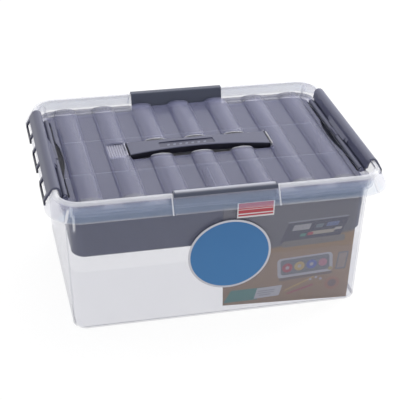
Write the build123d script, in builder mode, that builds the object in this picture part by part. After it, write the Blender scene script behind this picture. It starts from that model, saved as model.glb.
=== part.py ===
"""Clear plastic storage box with a clip-on lid, a carry handle that slides up and an insert tray.

Millimetres, +Z up. The origin is the middle of the underside. The long side runs along X,
the front faces -Y.
"""

from build123d import *
import os
from math import atan, degrees, sqrt

os.makedirs("parts", exist_ok=True)

# Driving sizes of the tub
skirt_length = 400.0
skirt_width = 300.0
skirt_corner = 38.8
crest_z = 177.0
skirt_drop = 19.7
skirt_lean = 11.0
shoulder_drop = 1.0
crest_round = 1.6
rim_inner_top = 15.5
rim_inner_bottom = 18.0
ledge_drop = 18.5
wall_end_inset = 21.0
wall_top_corner = 22.0
wall_draft = 6.2
wall = 2.0
floor_thickness = 2.4
base_edge_break = 2.6

# Driving sizes of the lid
lid_gap = 0.5
lid_wall = 1.8
lid_rise = 4.5
hump_count = 7
hump_width = 30.0
hump_height = 5.5
hump_shoulder_in = 2.5
hump_shoulder_drop = 1.3
hump_shoulder_round = 7.5
hump_crown_round = 30.0
hump_crown_excess = 0.3
hump_end_gap = 3.3
hump_ear_gap = 1.2
pocket_length = 177.0
pocket_width = 40.0
pocket_corner = 5.0
pocket_depth = 13.0
pad_hump = 1
pad_drop = 2.5

# Driving sizes of the end clips
hinge_inset = 25.2
knuckle_radius = 3.3
knuckle_floor_gap = 0.5
peg_radius = 1.5
peg_play = 0.06
peg_length = 8.0
peg_boss_width = 5.0
peg_boss_depth = 3.0
bore_depth = 9.0
clip_end_margin = 1.5
clip_wall = 2.6
clip_gap = 0.4
clip_skirt_overlap = 7.5
clip_edge_round = 0.8
clip_shoulder_round = 7.0
clip_crown_round = 5.6
clip_groove_round = 4.0
clip_inner_round = 1.0
foot_set_back = 5.0
foot_end_gap = 0.5
foot_leg = 2.2
foot_web = 1.9
foot_rim_gap = 1.3
foot_middle_length = 56.0
foot_middle_run_out = 8.0
foot_middle_depth = 3.0
foot_middle_drop = 6.5
foot_pad_length = 20.0
foot_pad_proud = 0.5
leg_taper = 1.2
leg_rise = 4.5
leg_step = 1.0
loop_pitch = 78.0
loop_length = 46.0
loop_leg = 5.0
loop_bar_height = 4.0
loop_bar_raise = 0.2
loop_bar_gap = 0.85
loop_bar_thickness = 2.4
loop_notch_gap = 2.0
loop_end_gap = 1.5
skirt_cut_height = 3.9
skirt_cut_margin = 0.5
channel_margin = 5.3
thumb_notch_length = 90.0
thumb_notch_depth = 4.5

# Driving sizes of the handle
handle_end_gap = 2.0
handle_side_gap = 3.5
handle_rise = 5.0
handle_arch = 3.0
handle_waist = 5.0
handle_travel = 9.3
handle_plate = 2.5
handle_side_depth = 8.0
handle_side_wall = 2.2
handle_edge_break = 0.8
top_recess_length = 68.0
top_recess_width = 13.0
top_recess_depth = 0.8
top_recess_corner = 2.0
top_recess_x = -15.0
top_recess_y = -1.4
lug_width = 10.0
lug_height = 2.0
lug_reach = 3.6
lug_side_gap = 0.6
lug_floor_gap = 0.5

# Driving sizes of the insert tray
tray_gap = 1.8
tray_draft = 3.5
tray_top_corner = 19.0
tray_wall = 2.0
tray_height = 59.8
tray_lid_gap = 0.7
tray_channel_gap = 1.2
tray_base_break = 2.4
tray_rib_y = 42.5
ear_length = 120.0
ear_rise = 2.3
ear_gap = 0.3
ear_rim_gap = 0.5
ear_lip_drop = 2.5
ear_wall = 2.2
ear_inner_round = 0.8
ear_outer_round = 3.0
ear_crown_round = 2.4
ear_notch_gap = 2.5
ear_lid_gap = 1.0
ear_rib_width = 1.8
ear_rib_proud = 0.8
divider_x = 0.0
divider_thickness = 1.6
divider_play = 0.3
divider_drop = 3.0
divider_corner = 2.0
rail_width = 1.4
rail_depth = 2.0

# Driving sizes of the card and the stickers
card_thickness = 0.5
card_wall_gap = 0.5
card_bottom = 16.0
card_top_gap = 7.3
card_left_bottom = 4.0
card_left_top = 0.0
card_end_gap_bottom = 17.0
card_end_gap_top = 20.0
sticker_thickness = 0.3
sticker_gap = 0.02
oval_length = 99.0
oval_height = 94.0
oval_x = 9.5
oval_centre = 86.0
stripe_length = 44.0
stripe_height = 20.0
stripe_x = 38.0
stripe_top_gap = 2.8

# Heights that follow from the driving sizes
skirt_edge_z = crest_z - skirt_drop
shoulder_z = crest_z - shoulder_drop
ledge_z = crest_z - ledge_drop
lid_top_z = ledge_z + lid_rise
lid_under_z = lid_top_z - lid_wall
hump_top_z = lid_top_z + hump_height
pocket_floor_z = lid_top_z - pocket_depth
channel_floor_z = ledge_z + lid_wall
hinge_z = channel_floor_z + knuckle_floor_gap + knuckle_radius
clip_edge_z = crest_z - clip_skirt_overlap
loop_bar_bottom_z = skirt_edge_z + loop_bar_raise
loop_bar_top_z = loop_bar_bottom_z + loop_bar_height
loop_notch_z = loop_bar_top_z + loop_notch_gap
skirt_cut_z = skirt_edge_z + skirt_cut_height
handle_end_z = lid_top_z + handle_rise
handle_middle_z = handle_end_z + handle_arch
tray_end_z = ledge_z - tray_lid_gap
tray_bottom_z = tray_end_z - tray_height
tray_floor_z = tray_bottom_z + tray_wall
ear_top_z = crest_z + ear_rise
ear_under_z = crest_z + ear_gap
ear_lip_z = crest_z - ear_lip_drop
card_top = skirt_edge_z - card_top_gap
stripe_centre = skirt_edge_z - stripe_top_gap - stripe_height / 2

# Lengths that follow from the driving sizes
skirt_slope = skirt_lean / (shoulder_z - skirt_edge_z)
skirt_taper = degrees(atan(skirt_slope))
rim_taper = degrees(atan((rim_inner_bottom - rim_inner_top) / ledge_drop))
wall_taper = degrees(atan(wall_draft / ledge_z))
tray_taper = degrees(atan(tray_draft / tray_height))
half_skirt = skirt_length / 2
half_depth = skirt_width / 2
seat_length = skirt_length - 2 * rim_inner_bottom
seat_width = skirt_width - 2 * rim_inner_bottom
seat_corner = skirt_corner - rim_inner_bottom
wall_top_length = skirt_length - 2 * wall_end_inset
base_length = wall_top_length - 2 * wall_draft
base_width = seat_width - 2 * wall_draft
base_corner = wall_top_corner - wall_draft
lid_length = seat_length - 2 * lid_gap
lid_width = seat_width - 2 * lid_gap
lid_corner = seat_corner - lid_gap
clip_length = 2 * (loop_pitch + clip_end_margin) + loop_length
foot_length = clip_length - 2 * foot_set_back
hinge_x = half_skirt - hinge_inset
channel_in = hinge_x - channel_margin
channel_length = foot_length + 2 * foot_end_gap
skirt_cut_length = 2 * (loop_pitch + skirt_cut_margin) + loop_length
handle_width = pocket_width - 2 * handle_side_gap
tray_top_length = wall_top_length - 2 * (wall + tray_gap)
tray_top_width = seat_width - 2 * (wall + tray_gap)
tray_base_length = tray_top_length - 2 * tray_draft
tray_base_width = tray_top_width - 2 * tray_draft
tray_base_corner = tray_top_corner - tray_draft
ear_notch_length = ear_length + 2 * ear_notch_gap
ear_notch_y = tray_top_width / 2 - tray_wall - ear_lid_gap
hump_reach = ear_notch_y - hump_ear_gap
last_hump_x = channel_in - lid_wall - hump_end_gap - hump_width / 2
hump_pitch = 2 * last_hump_x / (hump_count - 1)
hump_centres = [i * hump_pitch - last_hump_x for i in range(hump_count)]


def skirt_inset(z):
    """Distance of the skirt's outer face from its lower edge, at height z."""
    return skirt_slope * (z - skirt_edge_z)


def skirt_x(z):
    """Outer face of the skirt on the short sides."""
    return half_skirt - skirt_inset(z)


def skirt_y(z):
    """Outer face of the skirt on the long sides."""
    return half_depth - skirt_inset(z)


# Tub
with BuildPart() as tub:
    # Rim block with the leaning outer face of the skirt
    with BuildSketch(Plane.XY.offset(skirt_edge_z)):
        RectangleRounded(skirt_length, skirt_width, skirt_corner)
    extrude(amount=skirt_drop, taper=skirt_taper)
    fillet(tub.faces().sort_by(Axis.Z)[-1].edges(), crest_round)
    # Hollow under the skirt
    with BuildSketch(Plane.XY.offset(skirt_edge_z)):
        RectangleRounded(skirt_length - 2 * wall, skirt_width - 2 * wall, skirt_corner - wall)
    extrude(amount=skirt_drop - wall, taper=skirt_taper, mode=Mode.SUBTRACT)
    # Inner wall of the rim
    with BuildSketch(Plane.XY.offset(ledge_z - wall)):
        RectangleRounded(seat_length + 2 * wall, seat_width + 2 * wall, seat_corner + wall)
    extrude(amount=ledge_drop + wall - crest_round, taper=-rim_taper)
    # Body with drafted walls
    with BuildSketch():
        RectangleRounded(base_length, base_width, base_corner)
    extrude(amount=ledge_z, taper=-wall_taper)
    chamfer(tub.faces().sort_by(Axis.Z)[0].edges(), base_edge_break)
    # Inside of the body
    floor_lean = wall_draft * floor_thickness / ledge_z
    with BuildSketch(Plane.XY.offset(floor_thickness)):
        RectangleRounded(
            base_length + 2 * (floor_lean - wall),
            base_width + 2 * (floor_lean - wall),
            base_corner + floor_lean - wall,
        )
    extrude(amount=ledge_z - floor_thickness, taper=-wall_taper, mode=Mode.SUBTRACT)
    # Seat of the lid inside the rim
    with BuildSketch(Plane.XY.offset(ledge_z)):
        RectangleRounded(seat_length, seat_width, seat_corner)
    extrude(amount=ledge_drop, taper=-rim_taper, mode=Mode.SUBTRACT)
    # Skirt cut short under the clips, with deeper notches for their loops
    for cut_top_z, centres, length in (
        (skirt_cut_z, [0], skirt_cut_length),
        (loop_notch_z, [-loop_pitch, 0, loop_pitch], loop_length + 2 * loop_end_gap),
    ):
        with BuildSketch(Plane.XY.offset(skirt_edge_z)):
            for y in centres:
                with Locations((0, y)):
                    Rectangle(2 * skirt_length, length)
            Rectangle(seat_length + 4 * wall, skirt_width, mode=Mode.SUBTRACT)
        extrude(amount=cut_top_z - skirt_edge_z, mode=Mode.SUBTRACT)
    # Upright ribs on the skirt beside the tray's ears
    rib_top_z = shoulder_z - crest_round
    for rib_x in (-ear_length / 2 - ear_notch_gap, ear_length / 2 + ear_notch_gap - ear_rib_width):
        with BuildSketch(Plane.YZ.offset(rib_x)):
            with BuildLine():
                Polyline(
                    (skirt_y(skirt_edge_z) + ear_rib_proud, skirt_edge_z),
                    (skirt_y(rib_top_z) + ear_rib_proud, rib_top_z),
                    (skirt_y(rib_top_z) - wall / 2, rib_top_z),
                    (skirt_y(skirt_edge_z) - wall / 2, skirt_edge_z),
                    close=True,
                )
            make_face()
            mirror(about=Plane.YZ)
        extrude(amount=ear_rib_width)
tub.part.label = "tub"
export_step(tub.part, "parts/tub.step")

# Cross-sections of the lid's humps and of the hollows under them
half_hump = hump_width / 2
half_shoulder = half_hump - hump_shoulder_in
shoulder_top_z = hump_top_z - hump_shoulder_drop
crown_z = hump_top_z + hump_crown_excess
flank_slope = hump_shoulder_in / (shoulder_top_z - lid_top_z)
hollow_inset = lid_wall * (sqrt(1 + flank_slope**2) - flank_slope)
with BuildSketch(Plane.XZ) as hump_section:
    for x in hump_centres:
        with BuildLine():
            FilletPolyline(
                (x - half_hump, lid_top_z),
                (x - half_shoulder, shoulder_top_z),
                (x, crown_z),
                (x + half_shoulder, shoulder_top_z),
                (x + half_hump, lid_top_z),
                radius=[hump_shoulder_round, hump_crown_round, hump_shoulder_round],
            )
            Line((x + half_hump, lid_top_z), (x - half_hump, lid_top_z))
        make_face()
with BuildSketch(Plane.XZ) as hollow_section:
    for x in hump_centres:
        with BuildLine():
            FilletPolyline(
                (x - half_hump + hollow_inset, lid_under_z),
                (x - half_shoulder + hollow_inset, shoulder_top_z - lid_wall),
                (x, crown_z - lid_wall),
                (x + half_shoulder - hollow_inset, shoulder_top_z - lid_wall),
                (x + half_hump - hollow_inset, lid_under_z),
                radius=[
                    hump_shoulder_round - lid_wall,
                    hump_crown_round - lid_wall,
                    hump_shoulder_round - lid_wall,
                ],
            )
            Line((x + half_hump - hollow_inset, lid_under_z), (x - half_hump + hollow_inset, lid_under_z))
        make_face()

# Lid
plug_reach = pocket_width / 2 + lid_wall
pad_z = hump_top_z - pad_drop
pad_x = hump_centres[pad_hump]
with BuildPart() as lid:
    # Plate with a turned-down edge, set back at the tray's ears
    with BuildSketch(Plane.XY.offset(ledge_z)):
        RectangleRounded(lid_length, lid_width, lid_corner)
        with GridLocations(0, 2 * (ear_notch_y + lid_width / 2), 1, 2):
            Rectangle(ear_notch_length, lid_width, mode=Mode.SUBTRACT)
    extrude(amount=lid_top_z - ledge_z)
    # Humps
    extrude(hump_section.sketch, amount=hump_reach, both=True)
    # Hollow underside
    with BuildSketch(Plane.XY.offset(ledge_z)):
        RectangleRounded(lid_length - 2 * lid_wall, lid_width - 2 * lid_wall, lid_corner - lid_wall)
        with GridLocations(0, 2 * (ear_notch_y - lid_wall + lid_width / 2), 1, 2):
            Rectangle(ear_notch_length + 2 * lid_wall, lid_width, mode=Mode.SUBTRACT)
    extrude(amount=lid_under_z - ledge_z, mode=Mode.SUBTRACT)
    extrude(hollow_section.sketch, amount=hump_reach - lid_wall, both=True, mode=Mode.SUBTRACT)
    # Flat pad on one hump beside the handle
    with BuildSketch(Plane.XY.offset(pad_z - lid_wall)):
        with Locations((pad_x, 0)):
            Rectangle(hump_width, handle_width)
    extrude(amount=crown_z - pad_z + lid_wall, mode=Mode.SUBTRACT)
    with BuildSketch(Plane.XZ):
        add(hump_section.sketch_local)
        with Locations((pad_x, pad_z - lid_wall / 2)):
            Rectangle(hump_width, lid_wall, mode=Mode.INTERSECT)
    extrude(amount=handle_width / 2, both=True)
    # Walls round the handle's pocket, carried up into the humps
    with BuildSketch(Plane.XZ):
        add(hump_section.sketch_local)
        with Locations((0, lid_top_z)):
            Rectangle(pocket_length + 2 * lid_wall, 4 * hump_height, mode=Mode.INTERSECT)
    extrude(amount=plug_reach, both=True)
    with BuildSketch(Plane.XY.offset(pocket_floor_z - lid_wall)):
        RectangleRounded(
            pocket_length + 2 * lid_wall, pocket_width + 2 * lid_wall, pocket_corner + lid_wall
        )
    extrude(amount=lid_top_z - pocket_floor_z + lid_wall)
    with BuildSketch(Plane.XY.offset(pocket_floor_z)):
        RectangleRounded(pocket_length, pocket_width, pocket_corner)
    extrude(amount=crown_z - pocket_floor_z, mode=Mode.SUBTRACT)
    # Slots for the handle's lugs
    with BuildSketch(Plane.XY.offset(pocket_floor_z)):
        Rectangle(pocket_length + 4 * lid_wall, lug_width + 2 * lug_side_gap)
        Rectangle(pocket_length - 2 * lid_wall, lug_width + 2 * lug_side_gap, mode=Mode.SUBTRACT)
    extrude(amount=lug_floor_gap + lug_height + handle_travel, mode=Mode.SUBTRACT)
    # Sunk channels for the clips, with a curved thumb notch
    for side in (1, -1):
        with BuildSketch(Plane.XY.offset(ledge_z)):
            with Locations((side * (channel_in - lid_wall + lid_length / 2) / 2, 0)):
                Rectangle(lid_length / 2 - channel_in + lid_wall, channel_length + 2 * lid_wall)
            with BuildLine():
                half_thumb = thumb_notch_length / 2 + lid_wall
                wall_in = side * (channel_in - lid_wall)
                ThreePointArc(
                    (wall_in, -half_thumb), (wall_in - side * thumb_notch_depth, 0), (wall_in, half_thumb)
                )
                Line((wall_in, half_thumb), (wall_in, -half_thumb))
            make_face()
        extrude(amount=lid_top_z - ledge_z)
        with BuildSketch(Plane.XY.offset(channel_floor_z)):
            with Locations((side * (channel_in + half_skirt) / 2, 0)):
                Rectangle(half_skirt - channel_in, channel_length)
            with BuildLine():
                half_thumb = thumb_notch_length / 2
                ThreePointArc(
                    (side * channel_in, -half_thumb),
                    (side * (channel_in - thumb_notch_depth), 0),
                    (side * channel_in, half_thumb),
                )
                Line((side * channel_in, half_thumb), (side * channel_in, -half_thumb))
            make_face()
        extrude(amount=crown_z - channel_floor_z, mode=Mode.SUBTRACT)
    # Bosses and pegs that the clips turn on
    for end in (1, -1):
        with BuildSketch(Plane.XZ.offset(end * channel_length / 2)):
            with Locations((hinge_x, hinge_z), (-hinge_x, hinge_z)):
                Circle(peg_boss_width / 2)
            with Locations((hinge_x, (ledge_z + hinge_z) / 2), (-hinge_x, (ledge_z + hinge_z) / 2)):
                Rectangle(peg_boss_width, hinge_z - ledge_z)
        extrude(amount=end * peg_boss_depth)
        with BuildSketch(Plane.XZ.offset(end * channel_length / 2)):
            with Locations((hinge_x, hinge_z), (-hinge_x, hinge_z)):
                Circle(peg_radius)
        extrude(amount=-end * peg_length)
lid.part.label = "lid"
export_step(lid.part, "parts/lid.step")

# Right clip
clip_wall_x = clip_wall * sqrt(1 + skirt_slope**2)
clip_under_z = crest_z + clip_gap
clip_top_z = clip_under_z + clip_wall
leg_low_x = half_skirt - rim_inner_bottom - foot_rim_gap
leg_high_x = half_skirt - rim_inner_top - foot_rim_gap
leg_foot_z = hinge_z + knuckle_radius
web_z = hinge_z - knuckle_radius + leg_step
bar_in = skirt_x(loop_notch_z) + loop_bar_gap
bar_out = bar_in + loop_bar_thickness
strap_foot_z = skirt_edge_z + (half_skirt + clip_gap - bar_in) / skirt_slope
with BuildPart() as right_clip:
    # Arch over the rim, with its inner leg
    with BuildSketch(Plane.XZ):
        with BuildLine():
            FilletPolyline(
                (skirt_x(clip_edge_z) + clip_gap + clip_wall_x, clip_edge_z),
                (skirt_x(clip_top_z) + clip_gap + clip_wall_x, clip_top_z),
                (leg_high_x - clip_wall, clip_top_z),
                (leg_high_x - clip_wall - leg_taper, leg_foot_z + leg_rise),
                (leg_low_x - foot_leg, leg_foot_z),
                (leg_low_x, leg_foot_z),
                (leg_high_x, clip_under_z - leg_rise / 2),
                (leg_high_x + leg_taper, clip_under_z),
                (skirt_x(clip_under_z) + clip_gap, clip_under_z),
                (skirt_x(clip_edge_z) + clip_gap, clip_edge_z),
                radius=[
                    clip_edge_round,
                    clip_shoulder_round,
                    clip_crown_round,
                    clip_groove_round,
                    0,
                    0,
                    clip_inner_round,
                    clip_inner_round,
                    clip_inner_round,
                    0,
                ],
                close=True,
            )
        make_face()
    extrude(amount=clip_length / 2, both=True)
    # Foot with its round knuckle
    with BuildSketch(Plane.XZ):
        with Locations((hinge_x, hinge_z)):
            Circle(knuckle_radius)
        with BuildLine():
            Polyline(
                (hinge_x, web_z + foot_web),
                (leg_low_x - foot_leg, web_z + foot_web),
                (leg_low_x - foot_leg, leg_foot_z + leg_step),
                (leg_low_x, leg_foot_z + leg_step),
                (leg_low_x, web_z),
                (hinge_x, web_z),
                close=True,
            )
        make_face()
    extrude(amount=foot_length / 2, both=True)
    # Thicker middle of the inner leg that runs out in two steps, with a small pad on the knuckle
    for middle_length, depth in (
        (foot_middle_length, foot_middle_depth),
        (foot_middle_length + 2 * foot_middle_run_out, foot_middle_depth / 2),
    ):
        with BuildSketch(Plane.XZ):
            with BuildLine():
                Polyline(
                    (leg_high_x - clip_wall, clip_top_z - foot_middle_drop),
                    (leg_high_x - clip_wall - depth, clip_top_z - foot_middle_drop - depth),
                    (leg_low_x - foot_leg - depth, leg_foot_z + leg_step),
                    (leg_low_x - foot_leg, leg_foot_z),
                    (leg_low_x, leg_foot_z + leg_step),
                    (leg_high_x - clip_wall / 2, clip_top_z - foot_middle_drop),
                    close=True,
                )
            make_face()
        extrude(amount=middle_length / 2, both=True)
    with BuildSketch(Plane.XZ):
        with BuildLine():
            Polyline(
                (hinge_x - peg_boss_width / 2, hinge_z + peg_boss_width / 2 - leg_step),
                (hinge_x - peg_boss_width / 2, leg_foot_z + foot_pad_proud),
                (leg_low_x - foot_leg, leg_foot_z + foot_pad_proud),
                (leg_low_x - foot_leg, hinge_z),
                close=True,
            )
        make_face()
    extrude(amount=foot_pad_length / 2, both=True)
    # Bores for the lid's pegs
    for end in (1, -1):
        with BuildSketch(Plane.XZ.offset(end * foot_length / 2)):
            with Locations((hinge_x, hinge_z)):
                Circle(peg_radius + peg_play)
        extrude(amount=-end * bore_depth, mode=Mode.SUBTRACT)
    # Hook loops
    for loop_y in (-loop_pitch, 0, loop_pitch):
        for strap_y in (loop_y - loop_length / 2, loop_y + loop_length / 2 - loop_leg):
            with BuildSketch(Plane.XZ.offset(-strap_y)):
                with BuildLine():
                    Polyline(
                        (skirt_x(clip_edge_z + leg_step) + clip_gap, clip_edge_z + leg_step),
                        (skirt_x(clip_edge_z + leg_step) + clip_gap + clip_wall_x, clip_edge_z + leg_step),
                        (bar_out, strap_foot_z + leg_step),
                        (bar_out, loop_bar_bottom_z),
                        (bar_in, loop_bar_bottom_z),
                        (bar_in, strap_foot_z),
                        close=True,
                    )
                make_face()
            extrude(amount=-loop_leg)
        with BuildSketch(Plane.XZ.offset(-loop_y)):
            with Locations(((bar_in + bar_out) / 2, (loop_bar_bottom_z + loop_bar_top_z) / 2)):
                Rectangle(loop_bar_thickness, loop_bar_top_z - loop_bar_bottom_z)
        extrude(amount=loop_length / 2, both=True)
right_clip.part.label = "right_clip"
export_step(right_clip.part, "parts/right_clip.step")

# Left clip, the same moulding turned round
with BuildPart() as left_clip:
    mirror(right_clip.part, about=Plane.YZ)
left_clip.part.label = "left_clip"
export_step(left_clip.part, "parts/left_clip.step")

# Carry handle
half_handle = pocket_length / 2 - handle_end_gap
hollow_end = half_handle - handle_side_wall


def handle_top_z(x):
    """Height of the handle's arched top."""
    return handle_middle_z - handle_arch * (x / half_handle) ** 2


with BuildPart() as carry_handle:
    # Arched bar, cut through to leave its sides, then closed by an arched top plate
    for bar_depth in (handle_side_depth, handle_plate):
        with BuildSketch(Plane.XZ):
            with BuildLine():
                ThreePointArc(
                    (-half_handle, handle_end_z), (0, handle_middle_z), (half_handle, handle_end_z)
                )
                Line((half_handle, handle_end_z), (half_handle, handle_end_z - bar_depth))
                ThreePointArc(
                    (half_handle, handle_end_z - bar_depth),
                    (0, handle_middle_z - bar_depth),
                    (-half_handle, handle_end_z - bar_depth),
                )
                Line((-half_handle, handle_end_z - bar_depth), (-half_handle, handle_end_z))
            make_face()
        extrude(amount=handle_width / 2, both=True)
        if bar_depth == handle_side_depth:
            with BuildSketch(Plane.XY.offset(handle_end_z - handle_side_depth)):
                with BuildLine():
                    half_hollow = handle_width / 2 - handle_side_wall
                    ThreePointArc(
                        (-hollow_end, -half_hollow),
                        (0, handle_waist - half_hollow),
                        (hollow_end, -half_hollow),
                    )
                    Line((hollow_end, -half_hollow), (hollow_end, half_hollow))
                    ThreePointArc(
                        (hollow_end, half_hollow),
                        (0, half_hollow - handle_waist),
                        (-hollow_end, half_hollow),
                    )
                    Line((-hollow_end, half_hollow), (-hollow_end, -half_hollow))
                make_face()
            extrude(amount=handle_side_depth + handle_arch, mode=Mode.SUBTRACT)
    # Sides that draw in towards the middle
    for side in (1, -1):
        with BuildSketch(Plane.XY.offset(handle_end_z - handle_side_depth)):
            with BuildLine():
                ThreePointArc(
                    (-half_handle, side * handle_width / 2),
                    (0, side * (handle_width / 2 - handle_waist)),
                    (half_handle, side * handle_width / 2),
                )
                Line((half_handle, side * handle_width / 2), (-half_handle, side * handle_width / 2))
            make_face()
        extrude(amount=handle_side_depth + handle_arch, mode=Mode.SUBTRACT)
    chamfer(carry_handle.faces().sort_by(Axis.Z)[-1].edges(), handle_edge_break)
    # Shallow oblong recess that follows the top
    recess_left_z = handle_top_z(top_recess_x - top_recess_length / 2)
    recess_right_z = handle_top_z(top_recess_x + top_recess_length / 2)
    recess_slope = (recess_right_z - recess_left_z) / top_recess_length
    recess_plane = Plane(
        origin=(top_recess_x, top_recess_y, (recess_left_z + recess_right_z) / 2 - top_recess_depth),
        x_dir=(1, 0, recess_slope),
        z_dir=(-recess_slope, 0, 1),
    )
    with BuildSketch(recess_plane):
        RectangleRounded(top_recess_length, top_recess_width, top_recess_corner)
    extrude(amount=handle_arch, mode=Mode.SUBTRACT)
    # End legs with lugs that run in the pocket's slots
    lug_bottom_z = pocket_floor_z + lug_floor_gap
    for side in (1, -1):
        with BuildSketch(Plane.XZ):
            with BuildLine():
                Polyline(
                    (side * hollow_end, handle_end_z - handle_plate),
                    (side * half_handle, handle_end_z - handle_plate),
                    (side * half_handle, lug_bottom_z + lug_height),
                    (side * (half_handle + lug_reach), lug_bottom_z + lug_height),
                    (side * (half_handle + lug_reach), lug_bottom_z),
                    (side * hollow_end, lug_bottom_z),
                    close=True,
                )
            make_face()
        extrude(amount=lug_width / 2, both=True)
carry_handle.part.label = "carry_handle"
export_step(carry_handle.part, "parts/carry_handle.step")

# Insert tray
tray_wall_y = tray_top_width / 2
with BuildPart() as insert_tray:
    # Drafted shell
    with BuildSketch(Plane.XY.offset(tray_bottom_z)):
        RectangleRounded(tray_base_length, tray_base_width, tray_base_corner)
    extrude(amount=tray_height, taper=-tray_taper)
    chamfer(insert_tray.faces().sort_by(Axis.Z)[0].edges(), tray_base_break)
    floor_lean = tray_draft * tray_wall / tray_height
    with BuildSketch(Plane.XY.offset(tray_floor_z)):
        RectangleRounded(
            tray_base_length + 2 * (floor_lean - tray_wall),
            tray_base_width + 2 * (floor_lean - tray_wall),
            tray_base_corner + floor_lean - tray_wall,
        )
    extrude(amount=tray_height - tray_wall, taper=-tray_taper, mode=Mode.SUBTRACT)
    # Two long walls between the rows
    with BuildSketch(Plane.XY.offset(tray_floor_z)):
        with GridLocations(0, 2 * tray_rib_y, 1, 2):
            Rectangle(tray_base_length - tray_wall, tray_wall)
    extrude(amount=tray_end_z - tray_floor_z)
    # Raised middle of the long walls, short of the lid's channels
    rib_length = 2 * (channel_in - thumb_notch_depth - lid_wall - tray_channel_gap)
    with BuildSketch(Plane.XY.offset(tray_end_z)):
        with GridLocations(0, 2 * tray_rib_y, 1, 2):
            Rectangle(rib_length, tray_wall)
    extrude(amount=lid_under_z - tray_lid_gap - tray_end_z)
    # Ears that hang over the long rims
    with BuildSketch(Plane.YZ):
        with BuildLine():
            FilletPolyline(
                (tray_wall_y, tray_end_z),
                (half_depth - rim_inner_top - ear_rim_gap, ear_under_z),
                (skirt_y(ear_under_z) + ear_gap, ear_under_z),
                (skirt_y(ear_lip_z) + ear_gap, ear_lip_z),
                (skirt_y(ear_lip_z) + ear_gap + ear_wall, ear_lip_z),
                (skirt_y(ear_top_z) + ear_gap + ear_wall, ear_top_z),
                (half_depth - rim_inner_top - ear_rim_gap - tray_wall, ear_top_z),
                (tray_wall_y - tray_wall, tray_end_z),
                radius=[
                    ear_inner_round,
                    ear_inner_round,
                    ear_inner_round,
                    ear_inner_round,
                    ear_outer_round,
                    ear_crown_round,
                ],
            )
            Line((tray_wall_y - tray_wall, tray_end_z), (tray_wall_y, tray_end_z))
        make_face()
        mirror(about=Plane.YZ)
    extrude(amount=ear_length / 2, both=True)
    # Rails for the cross divider
    rail_x = (divider_thickness + rail_width) / 2 + divider_play
    with BuildSketch(Plane.XY.offset(tray_floor_z)):
        for x in (divider_x - rail_x, divider_x + rail_x):
            with Locations((x, -tray_rib_y - (tray_wall + rail_depth) / 2)):
                Rectangle(rail_width, rail_depth)
            with Locations((x, -tray_base_width / 2 + tray_wall + rail_depth / 2)):
                Rectangle(rail_width, rail_depth)
    extrude(amount=tray_end_z - divider_drop - tray_floor_z)
insert_tray.part.label = "insert_tray"
export_step(insert_tray.part, "parts/insert_tray.step")

# Cross divider of the front row
divider_rear_y = -tray_rib_y - tray_wall / 2 - divider_play
divider_front_y = -tray_base_width / 2 + tray_wall + divider_play
with BuildPart() as tray_divider:
    with BuildSketch(Plane.YZ.offset(divider_x - divider_thickness / 2)):
        with BuildLine():
            FilletPolyline(
                (divider_rear_y, tray_floor_z),
                (divider_rear_y, tray_end_z),
                (divider_front_y, tray_end_z),
                (divider_front_y, tray_floor_z),
                radius=divider_corner,
            )
            Line((divider_front_y, tray_floor_z), (divider_rear_y, tray_floor_z))
        make_face()
    extrude(amount=divider_thickness)
tray_divider.part.label = "tray_divider"
export_step(tray_divider.part, "parts/tray_divider.step")

# Plane of the front wall's outer face
front_plane = Plane(
    origin=(0, -base_width / 2, 0), x_dir=(1, 0, 0), z_dir=(0, -1, -wall_draft / ledge_z)
)

# Card behind the front wall
with BuildPart() as label_card:
    with BuildSketch(front_plane.offset(-wall - card_wall_gap - card_thickness)):
        with BuildLine():
            Polyline(
                (card_left_bottom, card_bottom),
                (base_length / 2 - card_end_gap_bottom, card_bottom),
                (wall_top_length / 2 - card_end_gap_top, card_top),
                (card_left_top, card_top),
                close=True,
            )
        make_face()
    extrude(amount=card_thickness)
label_card.part.label = "label_card"
export_step(label_card.part, "parts/label_card.step")

# Oval sticker on the front wall
with BuildPart() as oval_sticker:
    with BuildSketch(front_plane.offset(sticker_gap)):
        with Locations((oval_x, oval_centre)):
            Ellipse(oval_length / 2, oval_height / 2)
    extrude(amount=sticker_thickness)
oval_sticker.part.label = "oval_sticker"
export_step(oval_sticker.part, "parts/oval_sticker.step")

# Small striped sticker under the skirt
with BuildPart() as striped_sticker:
    with BuildSketch(front_plane.offset(sticker_gap)):
        with Locations((stripe_x, stripe_centre)):
            Rectangle(stripe_length, stripe_height)
    extrude(amount=sticker_thickness)
striped_sticker.part.label = "striped_sticker"
export_step(striped_sticker.part, "parts/striped_sticker.step")
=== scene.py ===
"""Looks of a clear storage box with a ribbed lid, dark end clips, a raised handle and a grey insert tray.

Laid out as an add-on, run as a script. Metres, +Z up, the front faces -Y.
"""

import math

import bmesh
import bpy
from bpy.props import FloatProperty, FloatVectorProperty, PointerProperty
from bpy.types import Operator, Panel, PropertyGroup
from mathutils import Matrix, Vector


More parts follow.
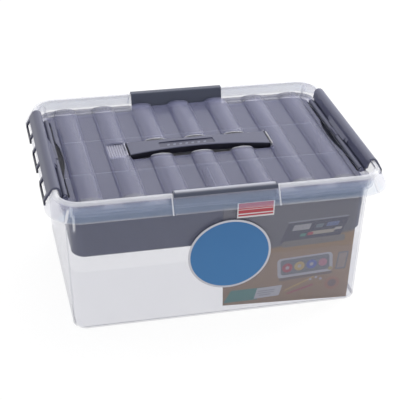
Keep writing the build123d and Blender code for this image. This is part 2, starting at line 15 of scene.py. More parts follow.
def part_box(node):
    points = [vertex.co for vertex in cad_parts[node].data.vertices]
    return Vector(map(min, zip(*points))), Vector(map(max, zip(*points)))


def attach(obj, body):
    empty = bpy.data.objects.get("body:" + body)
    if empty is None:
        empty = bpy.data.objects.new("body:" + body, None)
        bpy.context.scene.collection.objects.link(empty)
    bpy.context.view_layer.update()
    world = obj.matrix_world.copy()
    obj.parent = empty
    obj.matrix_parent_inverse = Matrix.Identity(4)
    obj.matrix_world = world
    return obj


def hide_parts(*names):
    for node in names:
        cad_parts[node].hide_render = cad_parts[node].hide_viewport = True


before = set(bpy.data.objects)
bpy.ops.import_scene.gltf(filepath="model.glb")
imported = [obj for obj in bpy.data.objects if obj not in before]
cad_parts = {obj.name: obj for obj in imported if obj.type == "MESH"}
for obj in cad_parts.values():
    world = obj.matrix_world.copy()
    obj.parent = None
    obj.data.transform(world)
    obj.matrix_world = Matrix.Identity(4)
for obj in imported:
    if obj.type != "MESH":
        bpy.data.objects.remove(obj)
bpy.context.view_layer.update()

bl_info = {
    "name": "Storage Box Looks",
    "version": (1, 0, 0),
    "blender": (4, 5, 0),
    "location": "View3D > Sidebar > Storage Box",
    "description": "Finishes of a clear storage box, its lid, clips, handle, tray, card and stickers",
    "category": "Object",
}

MM = 0.001
WHITE = (1.0, 1.0, 1.0, 1.0)

# The camera and the lamps face this point
LOOK_AT = Vector((2.291 * MM, -5.021 * MM, 90 * MM))

# Name, place, width and height of each lamp in metres, and the setting that holds its power
LAMPS = (
    ("top_softbox", (0.25, 0.35, 1.1), 1.0, 1.0, "top_light"),
    ("side_softbox", (-1.0, -0.9, 0.8), 0.7, 0.7, "side_light"),
    ("back_softbox", (1.3, 0.6, 0.6), 0.7, 0.7, "back_light"),
    ("rim_strip", (0.35, 1.5, 0.48), 1.6, 0.14, "strip_light"),
)

# How bright the floor looks where no shadow falls, and the tones of its speckle
FLOOR_WHITE = 1.08
FLOOR_TONES = ((0.86, 0.86, 0.86), (0.90, 0.90, 0.90))

# Clear plastic: share of its colour left in the flow marks, and the gain and the sharpness of the
# film at glancing angles
FLOW_SHADE = 0.92
TUB_EDGE = (0.9, 8.0)
LID_EDGE = (0.5, 3.0)

# Heights above which the tub's film changes; above the last one the rim's top is a painted highlight
LOW_WALL_TOP = 80 * MM
SKIRT_FILM_BOTTOM = 154 * MM
CREST_BOTTOM = 172.5 * MM

# Details of the skirt, with its painted highlights on the corners, the lower edge and the ribs, and
# of the tub's bottom edge. A pair is where a mask starts and ends to fade
LOOP_RAISE = 0.3 * MM  # from the skirt's lower edge up to the clips' loops
BAND_MARGIN = 0.7 * MM  # how far the band's mask starts below the skirt's edge
BAND_FADE = (170 * MM, 174 * MM)
GLINT_EDGE = (1.2 * MM, 2.4 * MM)  # from the middle of the light line to its sides
GLINT_START = 2 * MM  # from the start of the round corner
GLINT_FADE_IN = (128 * MM, 140 * MM)
GLINT_FADE_OUT = (169 * MM, 173 * MM)
LIP_HEIGHT = 0.9 * MM
LIP_END_DEPTH = 13 * MM  # in from the skirt's outside at the short ends
RIB_HALF_THICKNESS = 0.6 * MM
BASE_EDGE_DEPTH = 3 * MM
BASE_EDGE_FADE = (2.4 * MM, 4.2 * MM)

# Heights on the lid, from its sunk parts up to the crowns of its humps
VALLEY_FILM_BOTTOM = 160.5 * MM
SUNK_TOP = 161.5 * MM
POCKET_SHADE_TOP = 162 * MM
HUMP_FILM_BOTTOM = 163.6 * MM
FLANK_LIGHT_BOTTOM = 164 * MM
SIDE_CUT_BOTTOM = 166 * MM
CROWN_BOTTOM = 166.3 * MM

# Where the painted light on a hump's right flank starts, as a share of its half width from its middle
FLANK_LIGHT_START = -0.5

# Painted shade and highlights round the handle's pocket, and how deep the ribs show in the pad's painted
# sheen
POCKET_MARGIN = 1 * MM  # how far the shade reaches past the pocket's sides
CUT_MARGIN = 0.1 * MM  # how far a bright edge starts inside the pocket
SIDE_CUT_WIDTH = 1.0 * MM
END_CUT_WIDTH = 1.4 * MM
END_CUT_INSET = 4 * MM  # length left out at each end of the short bright edges
PAD_RIB_DEPTH = 0.25

# Levels of the noise between which the scuffs' lines and the patches that hold them show up
SCUFF_LINES = (0.58, 0.70)
SCUFF_PATCHES = (0.45, 0.65)

# Dark plastic: its roughness, how much lighter its flow marks and scuffs are, the depth and the
# strength of its grain, the painted shade on the clips' feet and the painted highlight on the tray's ears
SATIN_ROUGHNESS = 0.36
DARK_FLOW_SHADE = 1.15
SCUFF_SHADE = 1.5
SCUFF_LIFT = 0.01
GRAIN_DEPTH = 0.1 * MM
CLIP_GRAIN = 0.02
TRAY_GRAIN = 0.01
FOOT_FADE = 9 * MM
FOOT_SHADE = 0.75
EAR_TOP_WIDTH = 7.6 * MM  # from the ear's outside to its inner edge
EAR_TOP_DEPTH = 1.6 * MM  # down from the highest point

# The recess on the handle and the marks in it
RECESS_WALL = 0.5 * MM
RECESS_CORNER = 2 * MM
MARK_COUNT = 7
MARK_DROP = 0.6 * MM  # towards the front from the recess's middle line
MARK_HALF_LENGTH = 1.5 * MM
MARK_HALF_WIDTH = 1.9 * MM
MARK_CORNER = 1.2 * MM
MARK_LEAN = 0.3

# Prints: strength of the paper's grain, softness of the oval's ring, and the place up the striped
# sticker and the half height of each of its bands
PAPER_GRAIN = 0.04
RING_SOFTNESS = 0.015
STRIPE_BORDER = 1.6 * MM
STRIPES = ((0.76, 4.0 * MM), (0.40, 2.1 * MM), (0.16, 0.9 * MM))

# The card's sheet, the darkest shade of its wood, wall and back, its wood grain, the slant of its
# printed tray, and the far edge of the bench above its lower left corner
CARD_THICKNESS = 0.5 * MM
CARD_GRID = (40, 6)
WOOD_SHADE = 0.7
WALL_SHADE = 0.75
BACK_SHADE = 0.9
WOOD_STRETCH = (1.0, 1.0, 5.0)
TRAY_LEAN = 0.35
TRAY_RISE = 0.03
HORIZON_SLOPE = 0.14
HORIZON_FADE = (64 * MM, 70 * MM)
PATCH_SOFTNESS = 0.8 * MM


def colour_property(name, description, default):
    """A colour that a user may change."""
    return FloatVectorProperty(
        name=name, description=description, default=default, size=3, min=0, max=1, subtype="COLOR"
    )


def share_property(name, description, default):
    """A share from 0 to 1 that a user may change."""
    return FloatProperty(name=name, description=description, default=default, min=0, max=1, subtype="FACTOR")


def length_property(name, description, default):
    """A length in metres that a user may change."""
    return FloatProperty(name=name, description=description, default=default, min=0, unit="LENGTH")


def place_property(name, description, default):
    """A place along an axis in metres, on either side of the middle, that a user may change."""
    return FloatProperty(name=name, description=description, default=default, unit="LENGTH")


def power_property(name, description, default):
    """The power of a lamp in watts that a user may change."""
    return FloatProperty(name=name, description=description, default=default, min=0, unit="POWER")


def angle_property(name, description, default):
    """An angle in radians that a user may change."""
    return FloatProperty(name=name, description=description, default=default, subtype="ANGLE")


class ClearPlasticSettings(PropertyGroup):
    tub_colour: colour_property("Tub colour", "Colour of the milky film in the tub", (0.47, 0.48, 0.69))
    # Colour of the painted highlights on the rim's top, the skirt's corners, its lower edge and its ribs
    highlight_colour: colour_property(
        "Edge colour", "Colour of the rim's top and of the tub's edges", (0.93, 0.94, 1.0)
    )
    outline_colour: colour_property("Outline colour", "Colour at glancing angles", (0.42, 0.43, 0.50))
    tub_film: share_property("Tub film", "How milky each face of the tub's wall is", 0.10)
    low_film: share_property("Low film", "How milky each face of the wall's lower half is", 0.135)
    skirt_film: share_property("Skirt film", "How milky each face of the skirt is", 0.165)
    skirt_colour: colour_property("Skirt colour", "Colour of the milky film in the skirt", (0.34, 0.50, 0.76))
    skirt_start: length_property(
        "Skirt start", "How far in from the rim's outside the skirt reaches", 14 * MM
    )
    # Painted highlight: the rim's top is drawn more opaque in the highlight colour
    crest_highlight_film: share_property("Crest film", "How milky each face of the rim's top is", 0.42)
    # Painted light lines on the skirt's ribs
    rib_light_film: share_property("Rib film", "How milky the skirt's upright ribs are", 0.60)
    # Painted highlight along the skirt's lower edge
    lip_highlight_film: share_property("Lip film", "How milky the skirt's lower edge is", 0.17)
    skirt_corner: length_property("Skirt corner", "Radius of the skirt's corners", 38.8 * MM)
    # Painted highlight: the glint on each corner of the skirt, how far round the corner it lies and how
    # opaque it is
    glint_slope: FloatProperty(
        name="Glint slope", description="How far round the corner its light line lies", default=0.6
    )
    painted_glint_film: share_property("Glint film", "How milky the corner's light line is", 0.55)
    base_film: share_property("Base film", "How milky the tub's bottom edge is", 0.55)
    base_colour: colour_property("Base colour", "Colour of the tub's bottom edge", (0.38, 0.38, 0.45))
    rib_place: length_property("Rib place", "Distance of the skirt's ribs from the middle", 61.6 * MM)
    base_half_length: length_property(
        "Base half length", "Half the length of the tub's underside", 172.8 * MM
    )
    base_half_width: length_property("Base half width", "Half the width of the tub's underside", 125.8 * MM)
    lid_colour: colour_property("Lid colour", "Colour of the milky film in the lid", (0.36, 0.37, 0.59))
    lid_film: share_property("Lid film", "How milky each face of the lid's humps is", 0.185)
    # Painted light on the right flank of each hump: how opaque it is and its colour
    flank_light_film: share_property("Glow film", "How milky the right flank of each hump looks", 0.325)
    flank_light_colour: colour_property("Glow colour", "Colour of the right flank of each hump", (0.40, 0.41, 0.60))
    hump_half_width: length_property("Hump half width", "Half the width of a hump", 15 * MM)
    valley_film: share_property("Valley film", "How milky each face of the lid between the humps is", 0.272)
    margin_film: share_property("Margin film", "How milky the lid's long margins are", 0.50)
    margin_colour: colour_property("Margin colour", "Colour of the lid's long margins", (0.21, 0.215, 0.30))
    margin_start: length_property("Margin start", "Distance of the margins from the middle", 112 * MM)
    notch_half_length: length_property(
        "Notch half length", "Half the length of the gap for a tray ear", 62.5 * MM
    )
    sunk_film: share_property("Sunk film", "How milky the lid's channels and pocket are", 0.05)
    hump_pitch: length_property("Hump pitch", "Distance from hump to hump", 49.83 * MM)
    crown_radius: length_property("Crown radius", "Radius of the soft crown on each hump", 27 * MM)
    # Painted shade in the lid's channels and pocket: its colour, and how much of the pocket floor it covers
    painted_shade_colour: colour_property(
        "Shade colour", "Colour of the lid's channels and pocket", (0.03, 0.03, 0.045)
    )
    pocket_shade: share_property("Pocket shade", "How much the shaded pocket floor hides", 0.80)
    # Painted highlights on the cut edges round the handle's pocket
    cut_highlight_film: share_property("Cut film", "How milky the bright edges round the pocket are", 0.60)
    cut_highlight_colour: colour_property(
        "Cut colour", "Colour of the bright edges round the pocket", (0.90, 0.90, 0.93)
    )
    pocket_half_length: length_property(
        "Pocket half length", "Half the length of the handle's pocket", 88.5 * MM
    )
    pocket_half_width: length_property("Pocket half width", "Half the width of the handle's pocket", 20 * MM)
    # Painted sheen on the flat pad beside the handle
    pad_sheen_film: share_property("Pad film", "How milky the flat pad beside the handle is", 0.42)
    pad_sheen_colour: colour_property("Pad colour", "Colour of the flat pad beside the handle", (0.62, 0.62, 0.78))
    pad_half_length: length_property("Pad half length", "Half the pad's length along the box", 11.0 * MM)
    pad_half_width: length_property("Pad half width", "Half the pad's width across the box", 15.5 * MM)
    pad_rib_pitch: length_property("Pad rib pitch", "Distance of the pad's fine ribs", 3.0 * MM)


class DarkPlasticSettings(PropertyGroup):
    clip_colour: colour_property("Clip colour", "Colour of the clips and the handle", (0.075, 0.079, 0.132))
    # Painted shade on the clips' feet
    foot_shade_colour: colour_property("Foot colour", "Colour of the clips' shaded feet", (0.014, 0.014, 0.022))
    foot_top: length_property("Foot top", "Height up to which the rim shades the clips", 169 * MM)
    tray_colour: colour_property("Tray colour", "Colour of the insert tray", (0.054, 0.063, 0.100))
    # Painted highlight along the top of the tray's front ear: its colour, its half length and how wide it
    # fades
    ear_highlight_colour: colour_property(
        "Worn colour", "Colour of the worn line along the front ear", (0.46, 0.47, 0.54)
    )
    ear_half_length: length_property("Ear half length", "Half the length of an ear's worn line", 58 * MM)
    ear_highlight_width: length_property("Worn width", "Width over which the worn line fades out", 7.0 * MM)


class HandleSettings(PropertyGroup):
    # Painted shade on the handle's sides, below its top edge
    side_shade_colour: colour_property("Side colour", "Colour of the handle's shaded sides", (0.012, 0.012, 0.022))
    recess_colour: colour_property(
        "Recess colour", "Colour of the floor of the recess on top", (0.050, 0.052, 0.094)
    )
    mark_colour: colour_property(
        "Mark colour", "Colour of the raised marks in the recess", (0.16, 0.165, 0.24)
    )
    arch: length_property("Arch", "How far the top rises from its ends to its middle", 3.0 * MM)
    edge_width: length_property("Edge width", "Height of the handle's lighter top edge", 1.0 * MM)
    recess_x: place_property("Recess X", "Place of the recess along X", -15 * MM)
    recess_y: place_property("Recess Y", "Place of the recess along Y", -1.4 * MM)
    recess_half_length: length_property("Recess half length", "Half the length of the recess", 34 * MM)
    recess_half_width: length_property("Recess half width", "Half the width of the recess", 6.5 * MM)
    mark_pitch: length_property("Mark pitch", "Distance of the raised marks in the recess", 7.5 * MM)


class PrintSettings(PropertyGroup):
    oval_top: colour_property("Oval top", "Blue at the top of the oval", (0.012, 0.150, 0.395))
    oval_bottom: colour_property("Oval bottom", "Blue at the bottom of the oval", (0.022, 0.178, 0.445))
    oval_ring: colour_property("Oval ring", "Pale ring round the oval", (0.62, 0.62, 0.68))
    oval_ring_width: length_property("Ring width", "Width of the pale ring", 2.6 * MM)
    stripe_red: colour_property("Stripe red", "Red of the striped sticker", (0.45, 0.035, 0.055))
    stripe_white: colour_property("Stripe white", "White of the striped sticker", (0.72, 0.70, 0.72))
    card_wall: colour_property("Card grey", "Grey upper part of the card", (0.105, 0.105, 0.115))
    card_wood: colour_property("Card wood", "Wood tone of the card's lower part", (0.32, 0.205, 0.085))
    card_back: colour_property("Card back", "Paper tone of the card's back", (0.70, 0.70, 0.68))
    card_left: length_property("Card left", "Place of the card's lower left corner along X", 4.5 * MM)
    card_right_bottom: length_property(
        "Card right bottom", "Place of its lower right corner along X", 160.5 * MM
    )
    card_right_top: length_property("Card right top", "Place of its upper right corner along X", 163.5 * MM)
    card_bottom_left: length_property("Card bottom left", "Height of its lower left corner", 10.4 * MM)
    card_bottom_right: length_property("Card bottom right", "Height of its lower right corner", 3.2 * MM)
    corner_start: length_property("Corner start", "Where the tub's round corner starts along X", 157 * MM)
    corner_bottom: length_property("Corner bottom", "Radius of the card's bend at its bottom", 13.3 * MM)
    corner_top: length_property("Corner top", "Radius of the card's bend at its top", 19.5 * MM)


class StudioSettings(PropertyGroup):
    camera_yaw: angle_property("Camera yaw", "Turn of the view from +Y towards +X", 0.234)
    camera_pitch: angle_property("Camera pitch", "Downward tilt of the view", 0.513)
    camera_roll: angle_property("Camera roll", "Roll of the camera", 0.021)
    camera_distance: length_property("Camera distance", "Distance to the point looked at", 1458.96 * MM)
    lens: FloatProperty(name="Lens", description="Focal length in millimetres", default=105.24, min=1)
    world_light: share_property("World light", "Strength of the even light from all round", 0.62)
    top_light: power_property("Top light", "Power of the softbox overhead", 6.0)
    side_light: power_property("Side light", "Power of the softbox at the left front", 1.0)
    back_light: power_property("Back light", "Power of the softbox at the right back", 11.0)
    strip_light: power_property("Strip light", "Power of the low strip behind the box", 1.0)
    floor_size: length_property("Floor size", "Side of the floor", 40.0)
    floor_glow: share_property("Floor glow", "Share of the floor's white that no shadow dims", 0.85)


def feed(tree, socket, value):
    """Links the value to the socket if it comes from a node, and otherwise sets the socket to it."""
    if isinstance(value, bpy.types.NodeSocket):
        tree.links.new(value, socket)
    else:
        socket.default_value = value


def add(tree, kind, inputs=None, **settings):
    """A new node of this kind, with its settings made and its inputs set or linked."""
    made = tree.nodes.new(kind)
    for name, value in settings.items():
        setattr(made, name, value)
    for key, value in (inputs or {}).items():
        feed(tree, made.inputs[key], value)
    return made


def maths(tree, operation, *values, clamp=False):
    """The result of a Math node."""
    inputs = dict(enumerate(values))
    return add(tree, "ShaderNodeMath", inputs, operation=operation, use_clamp=clamp).outputs[0]


def shader_colour(value):
    """A colour with its alpha of 1, or a node's socket as it is."""
    return value if isinstance(value, bpy.types.NodeSocket) else (*tuple(value)[:3], 1.0)


def mix_colours(tree, factor, first, second):
    """Two colours mixed by a factor."""
    inputs = {0: factor, 6: shader_colour(first), 7: shader_colour(second)}
    return add(tree, "ShaderNodeMix", inputs, data_type="RGBA").outputs[2]


def smooth_step(tree, value, low, high):
    """0 below low, 1 above high and smooth between."""
    inputs = {"Value": value, "From Min": low, "From Max": high}
    return add(tree, "ShaderNodeMapRange", inputs, interpolation_type="SMOOTHSTEP").outputs[0]


def above(tree, value, limit):
    """1 where the value is over the limit and 0 elsewhere."""
    return maths(tree, "GREATER_THAN", value, limit)


def below(tree, value, limit):
    """1 where the value is under the limit and 0 elsewhere."""
    return maths(tree, "LESS_THAN", value, limit)


def fade_out(tree, value, low, high):
    """1 below low, 0 above high and smooth between."""
    return maths(tree, "SUBTRACT", 1.0, smooth_step(tree, value, low, high))


def overlap(tree, mask, *others):
    """Where all the masks are."""
    for other in others:
        mask = maths(tree, "MULTIPLY", mask, other)
    return mask


def split(tree, place):
    """The X, Y and Z of the coordinates."""
    return add(tree, "ShaderNodeSeparateXYZ", {0: place}).outputs


def distances(tree, place):
    """Distances from the middle along X and Y, and the height."""
    x, y, z = split(tree, place)
    return maths(tree, "ABSOLUTE", x), maths(tree, "ABSOLUTE", y), z


def shade(colour, factor):
    """A colour made darker or lighter."""
    return tuple(factor * part for part in colour)


def group_tree(name, inputs, outputs):
    """A new shader node group with its sockets, its input node and its output node.

    The inputs map each name to its default value, and None stands for coordinates. Each output is a
    number.
    """
    tree = bpy.data.node_groups.new(name, "ShaderNodeTree")
    for label, default in inputs.items():
        kind = "NodeSocketFloat" if isinstance(default, float) else "NodeSocketVector"
        socket = tree.interface.new_socket(name=label, in_out="INPUT", socket_type=kind)
        if default is not None:
            socket.default_value = default
    for label in outputs:
        tree.interface.new_socket(name=label, in_out="OUTPUT", socket_type="NodeSocketFloat")
    return tree, tree.nodes.new("NodeGroupInput").outputs, tree.nodes.new("NodeGroupOutput").inputs


def moulded_grain_group():
    """Fine grain and slow flow marks of a moulded surface."""
    tree, given, out = group_tree(
        "Moulded Grain",
        {
            "Coordinates": None,
            "Grain Scale": 900.0,
            "Flow Scale": 14.0,
            "Roughness": 0.35,
            "Roughness Change": 0.08,
        },
        ("Height", "Roughness", "Flow"),
    )
    place = given["Coordinates"]
    grain = add(tree, "ShaderNodeTexNoise", {"Vector": place, "Scale": given["Grain Scale"], "Detail": 3.0})
    waves = {"Vector": place, "Scale": given["Flow Scale"], "Detail": 4.0, "Distortion": 0.6}
    flow = add(tree, "ShaderNodeTexNoise", waves)
    swing = maths(tree, "SUBTRACT", flow.outputs[0], 0.5)
    swing = maths(tree, "MULTIPLY", swing, given["Roughness Change"])
    feed(tree, out["Height"], grain.outputs[0])
    feed(tree, out["Roughness"], maths(tree, "ADD", given["Roughness"], swing, clamp=True))
    feed(tree, out["Flow"], flow.outputs[0])
    return tree


def scuffs_group():
    """Thin handling scuffs that run mostly along X."""
    tree, given, out = group_tree(
        "Handling Scuffs",
        {"Coordinates": None, "Scale": 60.0, "Stretch": (0.12, 1.0, 1.0), "Amount": 0.3},
        ("Mask",),
    )
    place = given["Coordinates"]
    stretched = add(tree, "ShaderNodeVectorMath", {0: place, 1: given["Stretch"]}, operation="MULTIPLY")
    streaks = {"Vector": stretched.outputs[0], "Scale": given["Scale"], "Detail": 6.0}
    lines = add(tree, "ShaderNodeTexNoise", streaks)
    patches = add(tree, "ShaderNodeTexNoise", {"Vector": place, "Scale": 18.0, "Detail": 2.0})
    thin = smooth_step(tree, lines.outputs[0], *SCUFF_LINES)
    where = smooth_step(tree, patches.outputs[0], *SCUFF_PATCHES)
    feed(tree, out["Mask"], maths(tree, "MULTIPLY", overlap(tree, thin, where), given["Amount"], clamp=True))
    return tree


def milky_film_group():
    """How milky a clear wall is at each height, in four levels from the bottom up, with faint clouds."""
    tree, given, out = group_tree(
        "Milky Film",
        {
            "Coordinates": None,
            "Film 1": 0.1,
            "Height 1": 0.0,
            "Film 2": 0.1,
            "Height 2": 0.1,
            "Film 3": 0.2,
            "Height 3": 0.17,
            "Film 4": 0.3,
            "Rise": 0.002,
            "Clouds": 0.25,
        },
        ("Film", "Top"),
    )
    height = split(tree, given["Coordinates"])[2]
    film = given["Film 1"]
    for level in (1, 2, 3):
        start = given[f"Height {level}"]
        share = smooth_step(tree, height, start, maths(tree, "ADD", start, given["Rise"]))
        step = maths(tree, "SUBTRACT", given[f"Film {level + 1}"], given[f"Film {level}"])
        film = maths(tree, "ADD", film, maths(tree, "MULTIPLY", share, step))
    clouds = add(tree, "ShaderNodeTexNoise", {"Vector": given["Coordinates"], "Scale": 9.0, "Detail": 3.0})
    swing = maths(tree, "MULTIPLY", maths(tree, "SUBTRACT", clouds.outputs[0], 0.5), given["Clouds"])
    feed(tree, out["Film"], maths(tree, "MULTIPLY", film, maths(tree, "ADD", swing, 1.0), clamp=True))
    feed(tree, out["Top"], share)
    return tree


def print_patch_group():
    """A printed patch on an upright face: a leaning box with round corners, 1 inside and 0 outside."""
    tree, given, out = group_tree(
        "Print Patch",
        {
            "Coordinates": None,
            "Centre X": 0.0,
            "Centre Z": 0.0,
            "Half Width": 0.01,
            "Half Height": 0.01,
            "Corner": 0.0,
            "Lean": 0.0,
            "Rise": 0.0,
            "Softness": 0.4 * MM,
        },
        ("Mask",),
    )
    x, _, z = split(tree, given["Coordinates"])
    across = maths(tree, "SUBTRACT", x, given["Centre X"])
    upwards = maths(tree, "SUBTRACT", z, given["Centre Z"])
    across = maths(tree, "SUBTRACT", across, maths(tree, "MULTIPLY", upwards, given["Lean"]))
    upwards = maths(tree, "SUBTRACT", upwards, maths(tree, "MULTIPLY", across, given["Rise"]))
    sides = []
    for distance, half in ((across, given["Half Width"]), (upwards, given["Half Height"])):
        flat_half = maths(tree, "SUBTRACT", half, given["Corner"])
        sides.append(maths(tree, "SUBTRACT", maths(tree, "ABSOLUTE", distance), flat_half))
    squares = [maths(tree, "POWER", maths(tree, "MAXIMUM", side, 0.0), 2.0) for side in sides]
    outside = maths(tree, "SQRT", maths(tree, "ADD", *squares))
    inside = maths(tree, "MINIMUM", maths(tree, "MAXIMUM", *sides), 0.0)
    edge = maths(tree, "SUBTRACT", maths(tree, "ADD", outside, inside), given["Corner"])
    feed(tree, out["Mask"], fade_out(tree, edge, 0.0, given["Softness"]))
    return tree


def place_group(tree, name, **values):
    """The outputs of a node group in a material, made once and placed with its own values."""
    makers = {
        "Moulded Grain": moulded_grain_group,
        "Handling Scuffs": scuffs_group,
        "Milky Film": milky_film_group,
        "Print Patch": print_patch_group,
    }
    group = bpy.data.node_groups.get(name) or makers[name]()
    inputs = {key.replace("_", " "): value for key, value in values.items()}
    return add(tree, "ShaderNodeGroup", inputs, node_tree=group).outputs


def new_material(name):
    """An empty material with its tree, its output node and Object coordinates."""
    material = bpy.data.materials.new(name)
    material.use_nodes = True
    tree = material.node_tree
    tree.nodes.clear()
    output = tree.nodes.new("ShaderNodeOutputMaterial")
    coordinates = tree.nodes.new("ShaderNodeTexCoord").outputs["Object"]
    return material, tree, output, coordinates


def finish_material(tree, output, shader):
    """Joins the shader to the material's output."""
    tree.links.new(shader.outputs[0], output.inputs["Surface"])


def bump(tree, height, strength, distance):
    """The normal of a fine relief."""
    inputs = {"Height": height, "Strength": strength, "Distance": distance}
    return add(tree, "ShaderNodeBump", inputs).outputs[0]


def dress(nodes, material):
    """Gives CAD nodes this material."""
    for name in nodes:
        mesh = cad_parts[name].data
        mesh.materials.clear()
        mesh.materials.append(material)


def clear_plastic(
    name, settings, colour, highlight_colour, levels, edge, roughness, patches, outline_colour=None, relief=None
):
    """Clear plastic with a milky film that grows at glancing angles and slow flow marks.

    The edge is the gain at glancing angles and its sharpness. Each of the patches is a function of
    the tree, the coordinates and the settings that gives a mask, how milky it is and its colour; most
    patches paint highlights or shade.
    The relief is such a function that gives a height in metres.
    """
    material, tree, output, place = new_material(name)
    grain = place_group(
        tree, "Moulded Grain", Coordinates=place, Grain_Scale=120.0, Flow_Scale=11.0,
        Roughness=roughness, Roughness_Change=0.04,
    )
    film = place_group(tree, "Milky Film", Coordinates=place, **levels)
    facing = add(tree, "ShaderNodeLayerWeight", {"Blend": 0.5}).outputs["Facing"]
    gain, sharpness = edge
    glancing = maths(tree, "MULTIPLY", maths(tree, "POWER", facing, sharpness), gain)
    alpha = maths(tree, "ADD", film["Film"], glancing, clamp=True)
    tone = mix_colours(tree, grain["Flow"], colour, shade(colour, FLOW_SHADE))
    # Painted highlight: the top film level, the rim's top on the tub, takes the highlight colour
    tone = mix_colours(tree, film["Top"], tone, highlight_colour)
    if outline_colour:
        tone = mix_colours(tree, glancing, tone, outline_colour)
    for patch in patches:
        mask, amount, patch_colour = patch(tree, place, settings)
        alpha = maths(tree, "MAXIMUM", alpha, maths(tree, "MULTIPLY", mask, amount))
        tone = mix_colours(tree, mask, tone, patch_colour)
    inputs = {
        "Base Color": tone,
        "Roughness": grain["Roughness"],
        "IOR": 1.9,
        "Coat Weight": 0.6,
        "Coat Roughness": 0.12,
        "Alpha": alpha,
    }
    if relief:
        inputs["Normal"] = bump(tree, relief(tree, place, settings), 1.0, 1.0)
    finish_material(tree, output, add(tree, "ShaderNodeBsdfPrincipled", inputs))
    return material


def skirt_edge():
    """Height of the skirt's lower edge, just under the loops of the clips."""
    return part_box("right_clip")[0].z - LOOP_RAISE


def skirt_band(tree, place, settings):
    """The skirt along the long sides, a little bluer than the walls."""
    across, height = distances(tree, place)[1:]
    outside = above(tree, across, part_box("tub")[1].y - settings.skirt_start)
    high = above(tree, height, skirt_edge() - BAND_MARGIN)
    low = fade_out(tree, height, *BAND_FADE)
    return overlap(tree, outside, high, low), settings.skirt_film, settings.skirt_colour


def corner_glints(tree, place, settings):
    """Painted highlight: the glint on each corner of the skirt and of the wall just below it."""
    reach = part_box("tub")[1]
    along, across, height = distances(tree, place)
    out_x = maths(tree, "MAXIMUM", maths(tree, "SUBTRACT", along, reach.x - settings.skirt_corner), 0.0)
    out_y = maths(tree, "SUBTRACT", across, reach.y - settings.skirt_corner)
    off_line = maths(tree, "SUBTRACT", out_x, maths(tree, "MULTIPLY", out_y, settings.glint_slope))
    line = fade_out(tree, maths(tree, "ABSOLUTE", off_line), *GLINT_EDGE)
    line = overlap(tree, line, above(tree, out_y, GLINT_START))
    low = smooth_step(tree, height, *GLINT_FADE_IN)
    high = fade_out(tree, height, *GLINT_FADE_OUT)
    return overlap(tree, line, low, high), settings.painted_glint_film, settings.highlight_colour


def skirt_lip_highlight(tree, place, settings):
    """Painted highlight along the skirt's lower edge all round."""
    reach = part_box("tub")[1]
    along, across, height = distances(tree, place)
    beyond_end = above(tree, along, reach.x - LIP_END_DEPTH)
    beyond_front = above(tree, across, reach.y - settings.skirt_start)
    band = overlap(tree, above(tree, height, skirt_edge()), below(tree, height, skirt_edge() + LIP_HEIGHT))
    all_round = maths(tree, "MAXIMUM", beyond_end, beyond_front)
    return overlap(tree, band, all_round), settings.lip_highlight_film, settings.highlight_colour


def skirt_rib_lights(tree, place, settings):
    """Painted light lines on the skirt's upright ribs beside the tray's ears."""
    along, across, height = distances(tree, place)
    off_rib = maths(tree, "ABSOLUTE", maths(tree, "SUBTRACT", along, settings.rib_place))
    on_rib = below(tree, off_rib, RIB_HALF_THICKNESS)
    high = above(tree, height, skirt_edge())
    beyond_front = above(tree, across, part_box("tub")[1].y - settings.skirt_start)
    return overlap(tree, on_rib, high, beyond_front), settings.rib_light_film, settings.highlight_colour


def base_edge(tree, place, settings):
    """The tub's bottom edge all round."""
    along, across, height = distances(tree, place)
    near_end = above(tree, along, settings.base_half_length - BASE_EDGE_DEPTH)
    near_front = above(tree, across, settings.base_half_width - BASE_EDGE_DEPTH)
    all_round = maths(tree, "MAXIMUM", near_end, near_front)
    low = fade_out(tree, height, *BASE_EDGE_FADE)
    return overlap(tree, low, all_round), settings.base_film, settings.base_colour


def painted_sunk_shade(tree, place, settings):
    """Painted shade in the lid's channels and pocket, which aren't milky."""
    return below(tree, split(tree, place)[2], SUNK_TOP), 0.0, settings.painted_shade_colour


def lid_margins(tree, place, settings):
    """The lid's margins along the long rims, beside the tray's ears."""
    along, across = distances(tree, place)[:2]
    beyond = above(tree, across, settings.margin_start)
    beside = above(tree, along, settings.notch_half_length)
    return overlap(tree, beyond, beside), settings.margin_film, settings.margin_colour


def pocket_floor_shade(tree, place, settings):
    """Painted shade on the floor and the walls of the handle's pocket, where the handle shades them."""
    along, across, height = distances(tree, place)
    inside = overlap(
        tree,
        below(tree, along, settings.pocket_half_length + POCKET_MARGIN),
        below(tree, across, settings.pocket_half_width + POCKET_MARGIN),
        below(tree, height, POCKET_SHADE_TOP),
    )
    return inside, settings.pocket_shade, settings.painted_shade_colour


def painted_cut_highlights(tree, place, settings):
    """Painted highlights on the cut edges of the humps and of the lid's top round the handle's pocket."""
    along, across, height = distances(tree, place)
    off_side = maths(tree, "SUBTRACT", across, settings.pocket_half_width)
    side = overlap(
        tree,
        above(tree, off_side, -CUT_MARGIN),
        below(tree, off_side, SIDE_CUT_WIDTH),
        below(tree, along, settings.pocket_half_length),
        above(tree, height, SIDE_CUT_BOTTOM),
    )
    off_end = maths(tree, "SUBTRACT", along, settings.pocket_half_length)
    end = overlap(
        tree,
        above(tree, off_end, -CUT_MARGIN),
        below(tree, off_end, END_CUT_WIDTH),
        below(tree, across, settings.pocket_half_width - END_CUT_INSET),
        above(tree, height, SUNK_TOP),
    )
    return maths(tree, "MAXIMUM", side, end), settings.cut_highlight_film, settings.cut_highlight_colour


